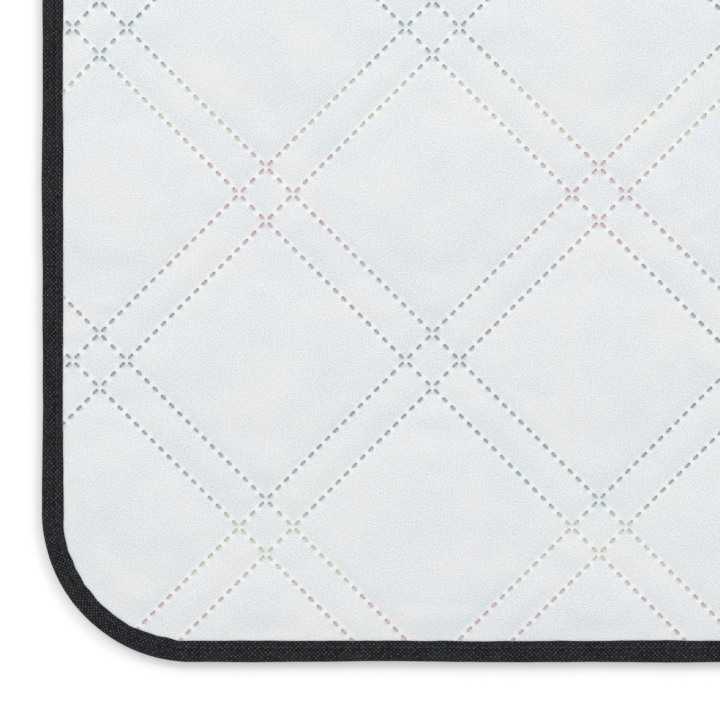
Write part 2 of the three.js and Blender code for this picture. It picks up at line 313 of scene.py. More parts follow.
# %% Wires
class Wire:
    """One output socket, with the arithmetic that materials here need."""

    def __init__(self, tree, socket=None):
        self.tree, self.socket = tree, socket

    def node(self, kind, settings=None, inputs=None, out=0):
        """Adds a node: settings first, then the value or the wire of each input it names."""
        made = self.tree.nodes.new(kind)
        for key, value in (settings or {}).items():
            if key == "stops":
                ramp = made.color_ramp
                for _ in value[2:]:
                    ramp.elements.new(0.5)
                for element, (position, color) in zip(ramp.elements, value):
                    element.position, element.color = position, (*color, 1)
            else:
                setattr(made, key, value)
        for key, value in (inputs or {}).items():
            if isinstance(value, Wire):
                self.tree.links.new(value.socket, made.inputs[key])
            else:
                made.inputs[key].default_value = value
        return Wire(self.tree, made.outputs[out])

    def math(self, operation, *values):
        return self.node("ShaderNodeMath", {"operation": operation}, dict(enumerate(values)))

    def __add__(self, other):
        return self.math("ADD", self, other)

    def __sub__(self, other):
        return self.math("SUBTRACT", self, other)

    def __mul__(self, other):
        return self.math("MULTIPLY", self, other)

    def __truediv__(self, other):
        return self.math("DIVIDE", self, other)

    def __rsub__(self, other):
        return self.math("SUBTRACT", other, self)

    def __mod__(self, other):
        return self.math("FLOORED_MODULO", self, other)

    def __abs__(self):
        return self.math("ABSOLUTE", self)

    __radd__, __rmul__ = __add__, __mul__

    def between(self, low, high):
        """0 at low and 1 at high, turning smoothly; low may be the larger."""
        settings = {"interpolation_type": "SMOOTHSTEP"}
        return self.node("ShaderNodeMapRange", settings, {0: self, 1: low, 2: high})

    def wave(self):
        """A ripple from 0 to 1 with one crest for each 1 of the wire."""
        return self.math("SINE", self * (2 * math.pi)) * 0.5 + 0.5

    def mixed(self, first, second):
        """The colour first where the wire is 0 and second where it is 1."""
        colors = [(*c, 1) if isinstance(c, tuple) else c for c in (first, second)]
        return self.node("ShaderNodeMix", {"data_type": "RGBA"}, {0: self, 6: colors[0], 7: colors[1]}, 2)

    def parts(self):
        split = self.node("ShaderNodeSeparateXYZ", None, {0: self}).socket.node
        return [Wire(self.tree, socket) for socket in split.outputs]

    def noise(self, scale, detail=2.0, rough=0.5, out=0):
        inputs = {"Vector": self, "Scale": scale, "Detail": detail, "Roughness": rough}
        return self.node("ShaderNodeTexNoise", None, inputs, out)

    def stretched(self, x, y, z=1.0):
        return self.node("ShaderNodeVectorMath", {"operation": "MULTIPLY"}, {0: self, 1: (x, y, z)})

    def shifted(self, shift, amount):
        """This place, moved by a colour pattern around its middle."""
        centred = self.node("ShaderNodeVectorMath", {"operation": "SUBTRACT"}, {0: shift, 1: (0.5, 0.5, 0.5)})
        scaled = self.node("ShaderNodeVectorMath", {"operation": "SCALE"}, {0: centred, "Scale": amount})
        return self.node("ShaderNodeVectorMath", {"operation": "ADD"}, {0: self, 1: scaled})


def finish_of(name, paint, **fixed):
    """A material. paint(place, cut) gives base color, roughness and bump height in metres, or None
    for no bump; place is the Object coordinate and cut the attribute cut. fixed sets sockets."""
    material = bpy.data.materials.new(name)
    material.use_nodes = True
    tree = material.node_tree
    shader = tree.nodes["Principled BSDF"]
    start = Wire(tree)
    place = start.node("ShaderNodeTexCoord", out="Object")
    cut = start.node("ShaderNodeAttribute", {"attribute_name": "cut"}, out="Vector")
    color, rough, height = paint(place, cut)
    tree.links.new(color.socket, shader.inputs["Base Color"])
    if isinstance(rough, Wire):
        tree.links.new(rough.socket, shader.inputs["Roughness"])
    else:
        shader.inputs["Roughness"].default_value = rough
    if height is not None:
        bump = start.node("ShaderNodeBump", None, {"Strength": 1.0, "Distance": 1.0, "Height": height})
        tree.links.new(bump.socket, shader.inputs["Normal"])
    for key, value in fixed.items():
        shader.inputs[key.replace("_", " ")].default_value = value
    print(f"{name}: {len(tree.nodes)} nodes")
    return material


def tone(red, green, blue):
    """A colour given in the usual 0 to 255 as the linear light that shaders count in."""
    return tuple(((c / 255 + 0.055) / 1.055) ** 2.4 for c in (red, green, blue))


# %% [markdown]
# ## Rainbow
#
# The striped cloth underneath shows through wherever the weld melts the layers together, so the
# lower cover and the weld dashes share one set of stripes. They run along the pad, and their colour
# depends only on how far they are from the front edge. The stripes repeat every 199 mm.

# %% Stripe colours
STRIPE_REPEAT = 0.199
STRIPES = [  # metres from the front edge, colour
    (0.000, (208, 160, 164)),
    (0.030, (210, 168, 167)),
    (0.041, (207, 204, 168)),
    (0.063, (201, 205, 172)),
    (0.072, (142, 170, 158)),
    (0.089, (122, 158, 160)),
    (0.099, (100, 138, 176)),
    (0.120, (104, 136, 166)),
    (0.136, (118, 134, 146)),
    (0.152, (136, 144, 152)),
    (0.177, (172, 158, 172)),
    (0.189, (206, 162, 166)),
    (0.199, (208, 160, 164)),
]


def rainbow(across):
    """The stripe colour at a distance from the front edge of the pad."""
    turn = ((across - PAD_FRONT) / STRIPE_REPEAT) % 1
    stops = [(at / STRIPE_REPEAT, tone(*color)) for at, color in STRIPES]
    return turn.node("ShaderNodeValToRGB", {"stops": stops}, {0: turn})


# %% [markdown]
# ## Finishes
#
# ** Pale cloth.** A thin woven cloth with a film on it: almost white, a little blue, with cloudy
# warmer and bluer patches a finger wide, a fine grain, and soft creases that run in all directions.
# The cloudy patches are a painted reflection of the surroundings in the film, and a painted
# highlight lightens the cloth along the weld lines. A hair of unevenness in the roughness keeps it
# alive.

# %% Pale cloth
def weld_highlight_band(cut):
    """1 along the weld lines and 0 a few millimetres away from them, where a painted highlight lightens the
    cloth.
    """
    x, y, _ = cut.parts()
    along_x, along_y = x - CROSSING[0], y - CROSSING[1]
    nearest = []
    for diagonal in ((along_x + along_y) * math.sqrt(0.5), (along_y - along_x) * math.sqrt(0.5)):
        from_pair = abs((diagonal + DIAGONAL / 2) % DIAGONAL - DIAGONAL / 2)
        nearest.append(abs(from_pair - PAIR / 2))
    return nearest[0].math("MINIMUM", *nearest).between(0.0026, 0.0006)


def paint_pale(place, cut):
    drift = cut.shifted(cut.noise(22, 3, out=1), 0.02)
    painted_reflection_cloud = drift.noise(30, 4, 0.6).between(0.36, 0.66)
    wide = cut.noise(9, 2).between(0.35, 0.7)
    grain = cut.noise(1500, 2, 0.7)
    fibre = cut.stretched(1, 0.16).noise(900, 2) * 0.5 + cut.stretched(0.16, 1).noise(900, 2) * 0.5
    # painted reflection: the bluer and warmer patches stand in for the surroundings reflected in the film
    base = painted_reflection_cloud.mixed(tone(197, 206, 213), tone(212, 213, 212))
    base = (wide * 0.5).mixed(base, tone(204, 209, 212))
    speck = grain.between(0.36, 0.64)
    color = (speck * 0.85).mixed(base, tone(233, 234, 234))
    # painted highlight: the cloth is lightened along the weld lines, where the puckered cloth catches the
    # light
    color = (weld_highlight_band(cut) * 0.6).mixed(color, tone(236, 238, 239))
    x, y, _ = cut.parts()
    threads = (x * 2200).wave() * (y * 2200).wave()
    crumple = drift.noise(36, 2, 0.5)
    folds = abs(crumple - 0.5)
    height = fibre * 0.00007 + grain * 0.00005 + threads * 0.000015 + folds * 0.0007
    return color, grain * 0.25 + 0.42, height


pale_cloth = finish_of("pale_cloth", paint_pale, Sheen_Weight=0.15, Specular_IOR_Level=0.35)

# %% [markdown]
# **Striped cloth.** Plain-woven, matt, printed with the rainbow in soft stripes.

# %% Striped cloth
def paint_striped(place, cut):
    x, y, _ = cut.parts()
    wander = cut.stretched(1, 0.2).noise(18, 2) * 0.006
    stripe = rainbow(y + wander)
    threads = (x * 1250).wave() * 0.5 + (y * 1250).wave() * 0.5
    slub = cut.stretched(0.1, 1).noise(700, 2)
    shade = (threads * 0.25 + slub * 0.3).mixed(stripe, tone(238, 240, 238))
    return shade, 0.78, threads * 0.00008 + slub * 0.00006


striped_cloth = finish_of("striped_cloth", paint_striped, Sheen_Weight=0.1)

# %% [markdown]
# **Foam.** Closed cells show as a fine pebbled skin. It is hidden in the sandwich.

# %% Foam
def paint_foam(place, cut):
    cells = place.node("ShaderNodeTexVoronoi", None, {"Vector": place, "Scale": 900})
    return cells.between(0.0, 0.8).mixed(tone(232, 232, 226), tone(246, 246, 242)), 0.85, cells * 0.0001


foam_skin = finish_of("foam", paint_foam)

# %% [markdown]
# ** Edge tape.** A matt black tape of coarse yarn. Its weave shows as small grey glints in
# staggered rows, where single yarns float over their neighbours; the glints are painted highlights
# in the base colour. The sewing line near its inner edge pulls it down into a groove, and the
# groove's darker tone is painted shade. The attribute `cut` runs along the tape in x, and across it
# in y from the outer edge.

# %% Edge tape
YARN_ALONG, YARN_ACROSS = 0.00195, 0.00185
SEAM_IN = 0.0069


def paint_tape(place, cut):
    uneven = cut.shifted(cut.noise(300, 2, out=1), 0.0011)
    x, y, _ = uneven.parts()
    along, over = x / YARN_ALONG, y / YARN_ACROSS
    float_yarn = (along + over).wave() * (along - over).wave()
    # painted highlight: the glints of the floating yarns are painted into the base colour
    glint = float_yarn.between(0.28, 0.85) * cut.noise(700, 3).between(0.34, 0.66)
    dusty = cut.noise(110, 3).between(0.3, 0.75)
    cross = cut.parts()[1]
    seam = abs(cross - SEAM_IN).between(0.0011, 0.0002)
    base = dusty.mixed(tone(20, 21, 25), tone(32, 33, 36))
    # painted shade: the groove along the sewing line is darkened in the base colour
    base = (seam * 0.6).mixed(base, tone(12, 12, 14))
    color = (glint * 0.85).mixed(base, tone(100, 101, 105))
    return color, 0.82, float_yarn * 0.00025 - seam * 0.00012


black_tape = finish_of("black_tape", paint_tape, Sheen_Weight=0.03, Specular_IOR_Level=0.12)

# %% [markdown]
# **Black cloth, webbing, hooks and loops.** The flap is a heavy plain weave. The handle's webbing
# has ribs across it. The hook tape is a field of tiny stiff hooks on a ribbed ground and the loop
# tape a brushed pile, which both need real geometry or a strong bump to look their part.

# %% Flap, handle and tapes
def paint_heavy(place, cut):
    x, y, _ = cut.parts()
    warp, weft = (x * 1600).wave(), (y * 1600).wave()
    over = warp * (1 - weft) + weft * (1 - warp)
    worn = cut.noise(60, 3).between(0.4, 0.75)
    base = worn.mixed(tone(42, 43, 48), tone(56, 57, 62))
    return (over * 0.5).mixed(base, tone(78, 79, 84)), 0.8, over * 0.00016


def paint_webbing(place, cut):
    x, y, _ = cut.parts()
    rib = (y * 520).wave()
    yarn = ((x + y * 0.5) * 1500).wave()
    base = rib.mixed(tone(24, 24, 27), tone(52, 52, 56))
    return (yarn * 0.35).mixed(base, tone(74, 74, 78)), 0.72, rib * 0.0004 + yarn * 0.0001


def paint_pile(place, cut):
    tuft = place.noise(1100, 4, 0.8)
    lay = place.stretched(1, 0.35).noise(260, 2)
    shade = (tuft * 0.6 + lay * 0.4).between(0.35, 0.7)
    return shade.mixed(tone(30, 30, 33), tone(72, 72, 76)), 0.95, tuft * 0.0009 + lay * 0.0004


def paint_hooks(place, cut):
    fleck = place.noise(2400, 1).between(0.35, 0.7)
    return fleck.mixed(tone(22, 22, 25), tone(50, 50, 54)), 0.45, None


black_cloth = finish_of("black_cloth", paint_heavy, Sheen_Weight=0.05, Specular_IOR_Level=0.2)
black_webbing = finish_of("black_webbing", paint_webbing, Specular_IOR_Level=0.3)
loop_pile = finish_of("loop_pile", paint_pile, Sheen_Weight=0.25)
hook_plastic = finish_of("hook_pile", paint_hooks)

# %% [markdown]
# ** Weld dashes and thread.** A dash is where film, foam and striped cloth are melted into one: it
# takes the stripe's colour paled towards white, and is glossier than the cloth. Its darker rim and
# lighter middle are painted shade and a painted highlight. The attribute `rim` says how near a
# point is to a dash's rim. The thread is black and twisted.

# %% Welds and thread
def paint_dash(place, cut):
    x, y, _ = place.parts()
    stripe = rainbow(y)
    rim = place.node("ShaderNodeAttribute", {"attribute_name": "rim"}, out="Fac")
    mottled = place.noise(420, 2).between(0.25, 0.75)
    # the dash's own paler colour, plus painted shade towards the rim and a painted highlight in the middle
    paleness_and_rim_shade = (0.34 - rim * 0.24) * mottled + 0.36
    return paleness_and_rim_shade.mixed(stripe, tone(236, 238, 238)), 0.5, place.noise(2600, 2) * 0.00006


def paint_thread(place, cut):
    x, y, _ = place.parts()
    twist = ((x + y) * 3300).wave()
    return twist.mixed(tone(18, 18, 20), tone(58, 58, 62)), 0.7, twist * 0.00006


weld = finish_of("weld_dash", paint_dash, Specular_IOR_Level=0.3)
thread = finish_of("thread", paint_thread)

# %% [markdown]
# ## The upper cover
#
# The cloth starts at its planned height. Then a cloth simulation blows it up a little from inside
# while the weld dashes, the pressed rim and the creases hold it down. Because the cloth has about
# two percent to spare, it puckers between the dashes as real quilting does. How far a point may
# move is capped, and close to a weld line even less, so that the dashes stay in sight.

# %% Simulate the upper cover
SLACK = 0.022
PUFF_PRESSURE = 2.2
PUFF_FRAMES = 8
PUFF_CAP = Vector((0.0007, 0.0007, 0.0011))


def points_of(mesh):
    return vectors_from(mesh.vertices, "co").astype(float)


def puffed(piece, held):
    """The points of a cover after the cloth simulation, with their moves capped."""
    start = points_of(piece.data)
    group = piece.vertex_groups.new(name="held")
    group.add([int(i) for i in np.nonzero(held)[0]], 1.0, "REPLACE")
    cloth = piece.modifiers.new("puff", "CLOTH")
    cloth.collision_settings.use_collision = False
    settings = cloth.settings
    settings.vertex_group_mass = group.name
    settings.quality = 4
    settings.bending_stiffness = 0.05
    settings.shrink_min = settings.shrink_max = -SLACK
    settings.use_pressure = True
    settings.uniform_pressure_force = PUFF_PRESSURE
    settings.effector_weights.gravity = 0
    for frame_number in range(1, PUFF_FRAMES + 1):
        scene.frame_set(frame_number)
        bpy.context.view_layer.update()
    evaluated = piece.evaluated_get(bpy.context.evaluated_depsgraph_get())
    moved = points_of(evaluated.data) - start
    piece.modifiers.remove(cloth)
    scene.frame_set(1)
    cap = np.array(PUFF_CAP)
    print(f"simulated {len(start)} points, mean rise {moved[:, 2].mean() * 1000:.2f} mm before the cap")
    return start + cap * np.tanh(moved / cap)


cloth_x, cloth_y = cloth_xy.T
planned = np.column_stack([cloth_xy, upper_height(cloth_x, cloth_y)])
flat_cut = np.column_stack([cloth_xy, np.zeros(len(cloth_xy))])
upper = show(mesh_of("upper_cover", planned, cloth_faces, flat_cut))
from_edge = inside(cloth_x, cloth_y)
held_down = is_weld | (from_edge < RIM_INSET + 0.001) | (pressed(cloth_x) > 0.5)
sewn = puffed(upper, held_down)
LEAST_RISE = 0.15  # the share of its rise that the cloth keeps on a weld line
MOST_SINK = 0.00025
let_go = LEAST_RISE + (1 - LEAST_RISE) * smooth_step(0.0015, 0.0075, from_weld(cloth_x, cloth_y))
sewn[:, 2] = planned[:, 2] + (sewn[:, 2] - planned[:, 2]) * let_go
sewn[:, 2] = np.maximum(sewn[:, 2], planned[:, 2] - MOST_SINK)

# %% [markdown]
# Handling leaves long shallow wrinkles that no weld explains. They are added as a soft rolling
# noise, strongest in the middle of the diamonds. One subdivision then rounds everything off; the
# weld points keep a sharp dimple through a vertex crease.

# %% Wrinkles and rounding
def rolling(points, wavelength, seed):
    """Soft noise from -1 to 1 over the cloth."""
    places = points[:, :2] / wavelength + seed * 7.31
    return np.array([noise.noise((x, y, seed * 3.7)) for x, y in places])


def wrinkles(points):
    bend = rolling(points, 0.035, 1)
    turned = points.copy()
    turned[:, 0] += 0.012 * bend
    turned[:, 1] += 0.012 * rolling(points, 0.035, 2)
    fine = 1 - np.abs(rolling(turned, 0.016, 3)) * 2.6
    broad = rolling(points, 0.045, 4)
    return 0.00030 * np.maximum(fine, 0) ** 2 * (0.6 + broad) + 0.0002 * broad


def under_loop_tape(x, y):
    """The most height that the cloth may have: the loop tape is sewn flat on it."""
    low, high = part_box("loop_tape")
    off_x = np.maximum(np.maximum(low.x - x, x - high.x), 0)
    off_y = np.maximum(np.maximum(low.y - y, y - high.y), 0)
    return PLATEAU + 0.002 * smooth_step(0.002, 0.012, np.hypot(off_x, off_y))


free = smooth_step(0.0, 0.0012, planned[:, 2] - WELD_Z) * (1 - np.minimum(pressed(cloth_x), 1))
sewn[:, 2] += np.where(is_weld, 0, wrinkles(planned) * free)
sewn[:, 2] = np.minimum(sewn[:, 2], under_loop_tape(cloth_x, cloth_y))
upper.data.vertices.foreach_set("co", sewn.astype(np.float32).ravel())
DIMPLE_SHARPNESS = 0.62
dimple_crease = upper.data.attributes.new("crease_vert", "FLOAT", "POINT")
dimple_crease.data.foreach_set("value", np.where(is_weld, DIMPLE_SHARPNESS, 0.0).astype(np.float32))


def rounded_off(piece):
    """The mesh of a piece after one subdivision."""
    levels = piece.modifiers.new("round", "SUBSURF")
    levels.levels = levels.render_levels = 1
    mesh = bpy.data.meshes.new_from_object(piece.evaluated_get(bpy.context.evaluated_depsgraph_get()))
    bpy.data.objects.remove(piece)
    return mesh


upper_mesh = rounded_off(upper)
weld_index = np.nonzero(is_weld)[0]  # subdivision keeps the first points in their order
weld_seats = points_of(upper_mesh)[weld_index]
weld_lean = vectors_from(upper_mesh.vertices, "normal")[weld_index] * 0.5 + (0, 0, 0.5)
weld_lean = weld_lean / np.linalg.norm(weld_lean, axis=1)[:, None]
drift = np.abs(weld_seats[:, :2] - cloth_xy[weld_index]).max()
print(f"upper cover {len(upper_mesh.vertices)} points; welds stay within {drift * 1000:.2f} mm of the plan")

# %% [markdown]
# ## Rows at the creases
#
# When a crease closes, each cover turns by 180 degrees within 6 mm, and the outer one sweeps a half
# circle. That needs many rows of points just there, so the meshes are cut along planes 0.6 mm
# apart. Each cover is then divided in the middle of panels 2, 3 and 4: every part holds one crease,
# and keeps the normals of the whole cloth, so no line shows between them.

# %% Rows at the creases and the parts of a cover
ROWS = np.linspace(-FOLD_HALF, FOLD_HALF, 11)


def with_crease_rows(mesh):
    """Cuts a mesh along the rows of every crease."""
    build = bmesh.new()
    build.from_mesh(mesh)
    for crease in CREASES:
        near = [f for f in build.faces if abs(f.calc_center_median().x - crease) < 0.010]
        geometry = list({*near, *(e for f in near for e in f.edges), *(v for f in near for v in f.verts)})
        for row in ROWS:
            cut = bmesh.ops.bisect_plane(
                build, geom=geometry, plane_co=(crease + row, 0, 0), plane_no=(1, 0, 0), dist=1e-6
            )
            geometry = cut["geom"]
    build.to_mesh(mesh)
    build.free()
    mesh.shade_smooth()
    return mesh


def corners_of(mesh):
    """The corner points of all faces in one row, and how many each face has."""
    total = np.empty(len(mesh.polygons), np.int32)
    corners = np.empty(len(mesh.loops), np.int32)
    mesh.polygons.foreach_get("loop_total", total)
    mesh.loops.foreach_get("vertex_index", corners)
    return corners, total


def panel_pair(x):
    """0 to 3: which crease's part a place along the pad belongs to, 0 being nearest the flap."""
    return (x[:, None] < np.array(MIDDLES)[None, :]).sum(axis=1)


def parts_of(mesh, name):
    """Divides a whole cloth into its four parts, which keep its cut and its normals."""
    points = points_of(mesh)
    corners, total = corners_of(mesh)
    starts = np.concatenate([[0], np.cumsum(total)[:-1]])
    centre_x = np.add.reduceat(points[corners, 0], starts) / total
    normals = vectors_from(mesh.vertices, "normal")
    cut = vectors_from(mesh.attributes["cut"].data, "vector")
    pair = panel_pair(centre_x)
    parts = []
    for k in range(4):
        kept = pair == k
        used, index = np.unique(corners[np.repeat(kept, total)], return_inverse=True)
        part = bpy.data.meshes.new(f"{name}_{k + 1}")
        part.vertices.add(len(used))
        part.vertices.foreach_set("co", points[used].astype(np.float32).ravel())
        part.loops.add(len(index))
        part.loops.foreach_set("vertex_index", index.astype(np.int32))
        part.polygons.add(int(kept.sum()))
        part.polygons.foreach_set("loop_start", np.concatenate([[0], np.cumsum(total[kept])[:-1]]))
        keep_vectors(part, "cut", cut[used])
        part.update(calc_edges=True)
        part.shade_smooth()
        part.normals_split_custom_set_from_vertices(normals[used])
        parts.append(show(part))
    bpy.data.meshes.remove(mesh)
    return parts


def folds_at(piece):
    """Bakes the piece's placement into its points."""
    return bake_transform(piece)


def nodes_near(k, *names):
    """The CAD nodes that a part stands for: those of its farther panel, and the first has panel 1 too."""
    panels = (1, 2) if k == 0 else (k + 2,)
    return [n for p in panels for name in names for n in frame["nodes"] if n.startswith(f"{name}_{p}")]


def part_length(k):
    ends = [PAD_RIGHT - COVER_INSET, *MIDDLES, PAD_LEFT + COVER_INSET]
    return ends[k] - ends[k + 1]


def finish_parts(parts, material, node):
    for k, part in enumerate(parts):
        part.data.materials.append(material)
        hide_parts(*nodes_near(k, node))
        folds_at(part)
    triangles = [sum(corners_of(part.data)[1] - 2) for part in parts]
    print(f"{parts[0].name[:-2]}: triangles {[int(t) for t in triangles]}")
    return parts


upper_parts = finish_parts(
    parts_of(with_crease_rows(upper_mesh), "upper_cover"), pale_cloth, "top_cover"
)

# %% [markdown]
# ## The lower cover
#
# The welds reach it as faint dimples. It is made from the same cut, facing down.

# %% Lower cover
lower_points = np.column_stack([cloth_xy, lower_height(cloth_x, cloth_y)])
lower_mesh = mesh_of("lower_cover", lower_points, cloth_faces[:, ::-1], flat_cut)
lower_seats = lower_points[weld_index]
lower_parts = finish_parts(
    parts_of(with_crease_rows(lower_mesh), "lower_cover"), striped_cloth, "bottom_cover"
)

# %% [markdown]
# ## The foam
#
# One sheet of foam fills the sandwich. Its faces are drawn on a coarser grid, at the lowest height
# that the cover has anywhere near each point, so it stays inside the cloth.

# %% Foam
def closed_between(name, xy, faces, top, bottom):
    """A closed body between two heights over a grid."""
    count = len(xy)
    edges = {(int(a), int(b)) for f in faces for a, b in zip(f, np.roll(f, -1))}
    walls = [(a + count, b + count, b, a) for a, b in edges if (b, a) not in edges]
    points = np.vstack([np.column_stack([xy, top]), np.column_stack([xy, bottom])])
    return mesh_of(name, points, [*faces, *(faces[:, ::-1] + count), *walls])


FOAM_STEP = 2
near_by = [-0.0075, -0.00375, 0, 0.00375, 0.0075]
foam_xy, foam_faces, _, _ = trimmed_grid(FOAM_STEP)
foam_x, foam_y = foam_xy.T
around = [(foam_x + dx, foam_y + dy) for dx in near_by for dy in near_by]
foam_top = np.minimum.reduce([upper_height(x, y) for x, y in around]) - 0.0008
foam_bottom = np.maximum.reduce([lower_height(x, y) for x, y in around]) + 0.0005
foam_bottom = np.minimum(foam_bottom, foam_top - 0.0003)
foam_pair = panel_pair(foam_x[foam_faces].mean(axis=1))
foam_parts = []
for k in range(4):
    used, faces = np.unique(foam_faces[foam_pair == k], return_inverse=True)
    faces = faces.reshape(-1, 4)
    mesh = closed_between(f"foam_sheet_{k + 1}", foam_xy[used], faces, foam_top[used], foam_bottom[used])
    foam_parts.append(show(with_crease_rows(mesh)))
finish_parts(foam_parts, foam_skin, "foam_core")

for k in range(4):
    flat = (CUT_WIDTH, part_length(k))
    print(f"part {k + 1} of each cover is cut {flat[0]:.3f} by {flat[1]:.3f} m")

# %% [markdown]
# ## Edge tape
#
# The tape is one flat ribbon folded over the rim. Its section is a narrow U, swept along the
# outline: its outer skin comes first, from the upper inner edge round the rim to the lower one, and
# then the inner skin back. Its inner edges wander a little, as sewn tape does, and pucker at the
# corners where it has to take the turn.

# %% Stations along the outline
def side_places(low, high, step):
    """Places along a straight side, closer together at the creases and one at each panel middle."""
    fixed = [c + row for c in CREASES for row in ROWS] + MIDDLES
    fixed = [x for x in fixed if low < x < high]
    even = np.linspace(low, high, round((high - low) / step) + 1)
    kept = [x for x in even if all(abs(x - other) > step / 4 for other in fixed)]
    return np.array(sorted(kept + fixed))


def outline_stations(step=0.0026):
    """Rows of x, y, inward direction x, y for the whole outline, counter-clockwise from the front left."""
    low_x, high_x = PAD_LEFT + CORNER, PAD_RIGHT - CORNER
    low_y, high_y = PAD_FRONT + CORNER, PAD_BACK - CORNER
    along_x, along_y = side_places(low_x, high_x, step), side_places(low_y, high_y, step)

    def corner(x, y, turn):
        angles = np.radians(np.linspace(turn, turn + 90, round(CORNER * math.pi / 2 / step) + 1)[1:-1])
        way = np.column_stack([np.cos(angles), np.sin(angles)])
        return np.hstack([np.array([x, y]) + CORNER * way, -way])

    def side(x, y, way):
        return np.column_stack(np.broadcast_arrays(x, y, *way)).astype(float)

    return np.vstack([
        side(along_x, PAD_FRONT, (0, 1)), corner(high_x, low_y, -90),
        side(PAD_RIGHT, along_y, (-1, 0)), corner(high_x, high_y, 0),
        side(along_x[::-1], PAD_BACK, (0, -1)), corner(low_x, high_y, 90),
        side(PAD_LEFT, along_y[::-1], (1, 0)), corner(low_x, low_y, 180),
    ])


stations = outline_stations()
steps = np.linalg.norm(np.diff(stations[:, :2], axis=0, append=stations[:1, :2]), axis=1)
OUTLINE = round(steps.sum() / YARN_ALONG) * YARN_ALONG  # a whole number of yarns, so the weave closes
station_s = np.concatenate([[0], np.cumsum(steps)[:-1]]) * OUTLINE / steps.sum()
print(f"outline {steps.sum():.3f} m in {len(stations)} stations")

# %% Section of the tape
TAPE_SECTION = [  # inward, height in mm, 1 where the point wanders with the inner edge
    (9.7, 4.28, 1), (9.75, 4.55, 1), (9.55, 4.80, 1), (8.9, 4.93, 1), (7.9, 4.98, 0), (7.15, 4.92, 0),
    (6.85, 4.86, 0), (6.55, 4.92, 0), (5.8, 5.02, 0), (4.4, 5.08, 0), (3.0, 5.10, 0), (1.8, 5.04, 0),
    (0.9, 4.74, 0), (0.3, 4.15, 0), (0.0, 3.20, 0), (0.3, 2.25, 0), (0.9, 1.66, 0), (1.8, 1.36, 0),
    (3.0, 1.30, 0), (5.8, 1.36, 0), (6.55, 1.48, 0), (6.85, 1.54, 0), (7.15, 1.48, 0), (8.9, 1.45, 1),
    (9.6, 1.60, 1), (9.7, 2.10, 1), (6.0, 1.92, 0), (1.5, 1.95, 0), (0.95, 3.2, 0), (1.5, 4.45, 0),
    (6.0, 4.45, 0),
]
OUTER_SKIN = 26  # the first points of the section are its outer skin
section = np.array(TAPE_SECTION) * (0.001, 0.001, 1)
skin_run = np.concatenate([[0], np.cumsum(np.linalg.norm(np.diff(section[:, :2], axis=0), axis=1))])
rim_run = skin_run[14]
across = np.abs(skin_run - rim_run)
across[OUTER_SKIN:] = section[OUTER_SKIN:, 0]


def wander(s, seed, wavelength):
    return np.array([noise.noise((value / wavelength, seed * 5.7, 0.3)) for value in s])


edge_wander = 0.00035 * wander(station_s, 1, 0.03) + 0.00022 * wander(station_s, 2, 0.007)
rim_wander = 0.00050 * wander(station_s, 3, 0.055) + 0.00016 * wander(station_s, 4, 0.012)
bow = 1 - np.abs(stations[:, 2:]).max(axis=1)  # 0 on straight sides and most in the corners
edge_wander += 0.0007 * (bow > 0.001) * wander(station_s, 5, 0.0065)
loft = 0.00022 * wander(station_s, 6, 0.014)


def tape_rows(which):
    """The tape's points at some stations: a row of section points for each."""
    inward = section[None, :, 0] + edge_wander[which, None] * section[None, :, 2]
    inward = inward + rim_wander[which, None] * (1 - inward / TAPE_WIDTH)
    height = section[None, :, 1] + loft[which, None] * (section[None, :, 0] < 0.0075) * np.sign(
        section[None, :, 1] - 0.0032
    )
    place, way = stations[which, None, :2], stations[which, None, 2:]
    return np.dstack([place + way * inward[:, :, None], height])


def swept(rows):
    """Points and faces of a closed body through rows of section points."""
    count, around_count = rows.shape[:2]
    index = np.arange(count * around_count).reshape(count, around_count)
    after = np.roll(index, -1, axis=1)
    sides = np.stack([index[:-1], after[:-1], after[1:], index[1:]], axis=-1).reshape(-1, 4)
    caps = [tuple(index[0]), tuple(index[-1][::-1])]
    return rows.reshape(-1, 3), [*map(tuple, sides), *caps]


def outward(mesh):
    """Turns all faces of a closed mesh outwards."""
    build = bmesh.new()
    build.from_mesh(mesh)
    bmesh.ops.recalc_face_normals(build, faces=build.faces)
    build.to_mesh(mesh)
    build.free()
    mesh.shade_smooth()
    return mesh


# %% Sweep the tape in four parts
def runs_of(k):
    """The runs of stations of part k: one round an end of the pad, or one on each long side."""
    ends = [1e9, *MIDDLES, -1e9]
    x = stations[:, 0]
    kept = np.nonzero((x <= ends[k] + 1e-7) & (x >= ends[k + 1] - 1e-7))[0]
    breaks = np.nonzero(np.diff(kept) > 1)[0]
    runs = np.split(kept, breaks + 1)
    if len(runs) > 1 and runs[0][0] == 0 and runs[-1][-1] == len(stations) - 1:
        runs = [np.concatenate([runs[-1], runs[0]]), *runs[1:-1]]
    return runs


tape_parts = []
for k in range(4):
    points, faces, cuts = [], [], []
    for run in runs_of(k):
        new_points, new_faces = swept(tape_rows(run))
        first = sum(len(p) for p in points)
        points.append(new_points)
        faces += [tuple(first + i for i in face) for face in new_faces]
        s, a = np.meshgrid(station_s[run] + OUTLINE * (run < run[0]), across, indexing="ij")
        cuts.append(np.column_stack([s.ravel(), a.ravel(), np.zeros(s.size)]))
    mesh = mesh_of(f"edge_tape_{k + 1}", np.vstack(points), faces, np.vstack(cuts))
    tape_parts.append(show(outward(mesh)))
finish_parts(tape_parts, black_tape, "edge_binding")
for k, part in enumerate(tape_parts):
    length = sum(steps[run[:-1]].sum() for run in runs_of(k))

# %% [markdown]
# ## What repeats
#
# Thousands of weld dashes, stitches and hooks each sit on a seat: a point with the direction it
# stands in (`lean`), the direction it runs in (`run`) and its own size (`girth`). One Geometry
# Nodes tree per shape reads these, sets the shape on every seat with a little seeded variation,
# makes the copies real and gives them their material.

